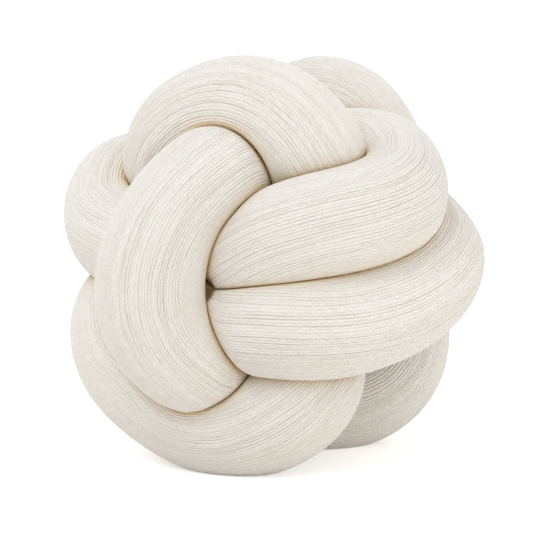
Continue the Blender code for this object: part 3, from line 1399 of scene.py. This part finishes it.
@dataclass
class KnottedTube:
    """The knotted tube, dressed in its knit and made in lengths that meet out of sight.

    Attributes:
        knit: The raised knit.
        finish: What it is made of.
        lengths: Each length's name, and the run and station where it starts.
        end_depth: How far a closed end's middle lies inside it, in spacings of the rings.
        end_map: Where the corners of an end's faces lie on the map.
    """

    knit: RibKnit
    finish: WoolFinish
    lengths: tuple[tuple[str, Run, int], ...] = (
        ("knit_crown_and_rear_loop", Run.CROWN_ARCH, 0),
        ("knit_shoulder_and_lower_sweep", Run.REAR_LOOP, -1),
        ("knit_left_turn_back_and_foot", Run.LEFT_TURN, 0),
        ("knit_column_and_upper_sweep", Run.FRONT_COLUMN, 0),
        ("knit_lower_arch_and_core", Run.LOWER_ARCH, 0),
    )
    end_depth: float = 0.3
    end_map: tuple[Pair, ...] = ((0.0, 0.0), (0.1, 0.0), (0.0, 0.1))

    def build(self) -> list[bpy.types.Object]:
        """Builds and dresses every length.

        Returns:
            The lengths, in order.
        """
        material = self.finish.material()
        tube = self.knit.tube
        places = [tube.line.place_of(run, station) for _, run, station in self.lengths]
        starts = [int(np.abs(tube.places - place).argmin()) for place in places]
        made = []
        for k, (name, _, _) in enumerate(self.lengths):
            last = starts[(k + 1) % len(starts)]
            if last <= starts[k]:
                last += len(tube.places)
            made.append(self.length(name, np.arange(starts[k], last + 1), material))
        return made

    def length(self, name: str, rings: Array, material: bpy.types.Material) -> bpy.types.Object:
        """Builds one length of the tube, closed at both ends.

        Args:
            name: The piece's name.
            rings: The rings that it runs through, which may pass the last one.
            material: The knit's material.

        Returns:
            The piece.
        """
        knit = self.knit
        count = len(knit.tube.places)
        points = knit.points[rings % count]
        around = points.shape[1]
        index = np.arange(points.shape[0] * around).reshape(-1, around)
        vertices = np.concatenate([points.reshape(-1, 3), self.end_points(points)]) * MM
        mesh = bpy.data.meshes.new(name)
        mesh.from_pydata(vertices.tolist(), [], self.faces(index))
        mesh.polygons.foreach_set("use_smooth", [True] * len(mesh.polygons))
        self.crease_ends(mesh, around, index.size)
        self.lay_map(mesh, rings, around)
        # Masks of painted shade: the grooves, and closeness to another pass beside creases
        for title, values in ((GROOVE_SHADE_MASK, knit.mask), (CREASE_SHADE_MASK, knit.close)):
            layer = mesh.attributes.new(title, "FLOAT", "POINT")
            column = np.concatenate([values[rings % count].ravel(), [1.0, 1.0]])
            layer.data.foreach_set("value", column.astype(np.float32))
        mesh.update()
        mesh.materials.append(material)
        piece = placed(name, mesh)
        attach(piece, "root")
        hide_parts(NODE)
        return piece

    @staticmethod
    def faces(index: Array) -> list[list[int]]:
        """The faces of one length: its sides, then the fans that close its two ends.

        Args:
            index: The numbers of its points, one row a ring. Those of the ends' middles follow.

        Returns:
            Each face's points.
        """
        around = index.shape[1]
        beside = np.roll(index, -1, axis=1)
        quads = np.stack([index[:-1], beside[:-1], beside[1:], index[1:]], axis=-1)
        first, last = index.size, index.size + 1
        near = np.stack([np.full(around, first), beside[0], index[0]], axis=-1)
        far = np.stack([np.full(around, last), index[-1], beside[-1]], axis=-1)
        return quads.reshape(-1, 4).tolist() + near.tolist() + far.tolist()

    @staticmethod
    def crease_ends(mesh: bpy.types.Mesh, around: int, size: int) -> None:
        """Creases the rims of the closed ends, so that the sides shade straight up to them.

        Args:
            mesh: The piece's mesh.
            around: Points round each ring.
            size: Points in all its rings.
        """
        ends = np.empty(2 * len(mesh.edges), dtype=np.int32)
        mesh.edges.foreach_get("vertices", ends)
        ends = ends.reshape(-1, 2)
        first = (ends < around).all(axis=1)
        last = ((ends >= size - around) & (ends < size)).all(axis=1)
        mesh.edges.foreach_set("use_edge_sharp", first | last)

    def end_points(self, points: Array) -> Array:
        """The middles of the two closed ends, a little inside the piece.

        Args:
            points: The piece's points, one row a ring.

        Returns:
            The first end's middle and the last one's.
        """
        ends = []
        for edge, inner in ((0, 1), (-1, -2)):
            middle = points[edge].mean(axis=0)
            inward = points[inner].mean(axis=0) - middle
            ends.append(middle + self.end_depth * inward)
        return np.array(ends)

    def lay_map(self, mesh: bpy.types.Mesh, rings: Array, around: int) -> None:
        """Maps the mesh by the lay of the knit: wales across, stitches along.

        Args:
            mesh: The piece's mesh.
            rings: The rings that it runs through.
            around: Points round each ring.
        """
        tube = self.knit.tube
        count = len(tube.places)
        total = distances(tube.line.fine)[-1]
        along = (tube.places[rings % count] + total * (rings // count)) / self.knit.row_pitch
        across = np.arange(around + 1) / self.knit.wale_points
        i, j = np.meshgrid(np.arange(len(rings) - 1), np.arange(around), indexing="ij")
        corner_u = np.stack([across[j], across[j + 1], across[j + 1], across[j]], axis=-1)
        corner_v = np.stack([along[i], along[i], along[i + 1], along[i + 1]], axis=-1)
        sides = np.stack([corner_u.ravel(), corner_v.ravel()], axis=-1)
        ends = np.tile(np.array(self.end_map), (2 * around, 1))
        layer = mesh.uv_layers.new(name=LAY_MAP)
        layer.uv.foreach_set("vector", np.concatenate([sides, ends]).astype(np.float32).ravel())


@dataclass(frozen=True)
class AreaLight:
    """One soft lamp.

    Attributes:
        name: Its name.
        place: Where it hangs, in metres.
        size: Its side, in metres.
        power: Its power, in watts.
        colour: Its colour.
    """

    name: str
    place: Place
    size: float
    power: float
    colour: Colour

    def hang(self, aim: Vector) -> None:
        """Hangs the lamp.

        Args:
            aim: The point to which it is turned.
        """
        data = bpy.data.lights.new(self.name, "AREA")
        data.shape = "DISK"
        data.size = self.size
        data.energy = self.power
        data.color = self.colour
        lamp = placed(self.name, data)
        lamp.location = self.place
        lamp.rotation_euler = (aim - lamp.location).to_track_quat("-Z", "Y").to_euler()


@dataclass
class Studio:
    """A plain pale floor, soft light from all round and a camera a little above the ball.

    Attributes:
        tube: The tube, which says how the ball leans.
        shift: What brought the leaned ball to the floor, in millimetres.
        distance: From the camera to the ball's middle, in millimetres.
        scale: Picture points for each millimetre at the ball's middle.
        offset: The ball's middle in the picture, right of and above its centre, in points.
        sensor: Width of the camera's sensor, in millimetres.
        sight: How far the camera sees, in metres.
        ambient: Strength of the light from all round, at the horizon and overhead.
        ambient_colour: Its colour, at the horizon and overhead.
        ambient_rise: How far up the colour changes, where overhead is 1.
        backdrop: Brightness of what lies behind.
        floor_half: Half the floor's side, in metres.
        floor_tone: Colour of the floor.
        floor_finish: Its roughness, and the strength of its plain reflection.
        floor_glow: What the floor adds to its own brightness, for the ball and for the eye.
        aim: The point to which the lamps are turned.
        lights: The lamps.
    """

    tube: FilledTube
    shift: Array
    distance: float = 1600.0
    scale: float = 1.393
    offset: Pair = (8.0, -0.5)
    sensor: float = 36.0
    sight: float = 50.0
    ambient: Pair = (0.52, 1.13)
    ambient_colour: tuple[Colour, Colour] = ((1.0, 0.965, 0.915), (0.98, 0.985, 1.0))
    ambient_rise: float = 0.8
    backdrop: float = 1.05
    floor_half: float = 20.0
    floor_tone: Colour = (0.87, 0.845, 0.81)
    floor_finish: Pair = (0.9, 0.1)
    floor_glow: Pair = (0.09, 0.5)
    aim: Place = (0.0, 0.0, 0.14)
    lights: tuple[AreaLight, ...] = (
        AreaLight("top_front_lamp", (-0.9, -1.6, 2.2), 1.6, 16.5, (0.91, 0.96, 1.0)),
        AreaLight("left_lamp", (-1.9, -0.1, 1.8), 1.4, 8.0, (0.92, 0.97, 1.0)),
        AreaLight("low_right_lamp", (1.9, -1.4, 0.5), 1.4, 7.0, (0.95, 0.98, 1.0)),
        AreaLight("floor_right_lamp", (0.80, -0.45, 0.10), 0.2, 0.6, (1.0, 0.97, 0.92)),
    )

    def build(self) -> None:
        """Builds the camera, the floor and the lights."""
        self.camera()
        self.floor()
        self.world()
        for light in self.lights:
            light.hang(Vector(self.aim))
        settings = bpy.context.scene.view_settings
        settings.view_transform = "Standard"
        settings.look = "None"

    def camera(self) -> None:
        """Sets the camera level with the ball's own frame."""
        lean = math.radians(self.tube.lean)
        back = Vector((0.0, -math.cos(lean), math.sin(lean)))
        up = Vector((0.0, math.sin(lean), math.cos(lean)))
        middle = Vector(self.shift * MM)
        data = bpy.data.cameras.new("camera")
        data.sensor_width = self.sensor
        data.lens = self.scale * self.distance / PICTURE_SIDE * data.sensor_width
        data.shift_x = -self.offset[0] / PICTURE_SIDE
        data.shift_y = -self.offset[1] / PICTURE_SIDE
        data.clip_end = self.sight
        camera = placed("camera", data)
        turn = Matrix((Vector((1.0, 0.0, 0.0)), up, back)).transposed().to_4x4()
        place = Matrix.Translation(middle + back * self.distance * MM)
        camera.matrix_world = place @ turn
        bpy.context.scene.camera = camera

    def floor(self) -> None:
        """Lays the pale floor."""
        half = self.floor_half
        corners = [(-half, -half, 0.0), (half, -half, 0.0), (half, half, 0.0), (-half, half, 0.0)]
        mesh = bpy.data.meshes.new("floor")
        mesh.from_pydata(corners, [], [(0, 1, 2, 3)])
        material = bpy.data.materials.new("pale_floor")
        material.use_nodes = True
        shader = material.node_tree.nodes["Principled BSDF"]
        nodes = Wiring(material.node_tree)
        rough, specular = self.floor_finish
        nodes.preset(
            shader,
            {
                "Base Color": (*self.floor_tone, 1.0),
                "Roughness": rough,
                "Specular IOR Level": specular,
                "Emission Color": WHITE,
            },
        )
        path = nodes.add("ShaderNodeLightPath")
        glow = nodes.ranged(path.outputs["Is Camera Ray"], 0.0, 1.0, *self.floor_glow)
        nodes.link(glow, shader.inputs["Emission Strength"])
        mesh.materials.append(material)
        placed("floor", mesh)

    def world(self) -> None:
        """Sets the light from all round and the plain backdrop."""
        world = bpy.data.worlds.new("studio")
        bpy.context.scene.world = world
        world.use_nodes = True
        tree = world.node_tree
        nodes = Wiring(tree)
        lit = tree.nodes["Background"]
        where = nodes.add("ShaderNodeTexCoord")
        height = nodes.parts(where.outputs["Generated"])[2]
        strength = nodes.ranged(height, 0.0, 1.0, *self.ambient)
        nodes.link(strength, lit.inputs["Strength"])
        rise = nodes.ranged(height, 0.0, self.ambient_rise, 0.0, 1.0)
        nodes.link(nodes.mix(rise, *self.ambient_colour), lit.inputs["Color"])
        seen = nodes.add("ShaderNodeBackground", {"Color": WHITE, "Strength": self.backdrop})
        path = nodes.add("ShaderNodeLightPath")
        mix = nodes.add("ShaderNodeMixShader")
        nodes.link(path.outputs["Is Camera Ray"], mix.inputs["Fac"])
        nodes.link(lit.outputs["Background"], mix.inputs[1])
        nodes.link(seen.outputs["Background"], mix.inputs[2])
        nodes.link(mix.outputs["Shader"], tree.nodes["World Output"].inputs["Surface"])


def main() -> None:
    """Builds the cushion and its studio, and notes the sizes."""
    logging.basicConfig(level=logging.INFO, format="%(name)s: %(message)s")
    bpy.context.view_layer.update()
    detail = Detail.FULL
    line = CentreLine()
    LOG.info("centre line settled, %.0f mm long", distances(line.fine)[-1])
    tube = FilledTube(line=line, ring_step=detail.ring_step)
    LOG.info("tube swept through %d rings", len(tube.places))
    knit = RibKnit(tube=tube, wale_points=detail.wale_points)
    LOG.info("%d wales of rib knit laid on it", knit.wales)
    for piece in KnottedTube(knit=knit, finish=WoolFinish()).build():
        triangles = sum(len(face.vertices) - 2 for face in piece.data.polygons)
        LOG.info("%s: %d triangles", piece.name, triangles)
    Studio(tube=tube, shift=knit.shift).build()
    LOG.info("studio set")
    bpy.context.view_layer.update()


if __name__ == "__main__":
    main()
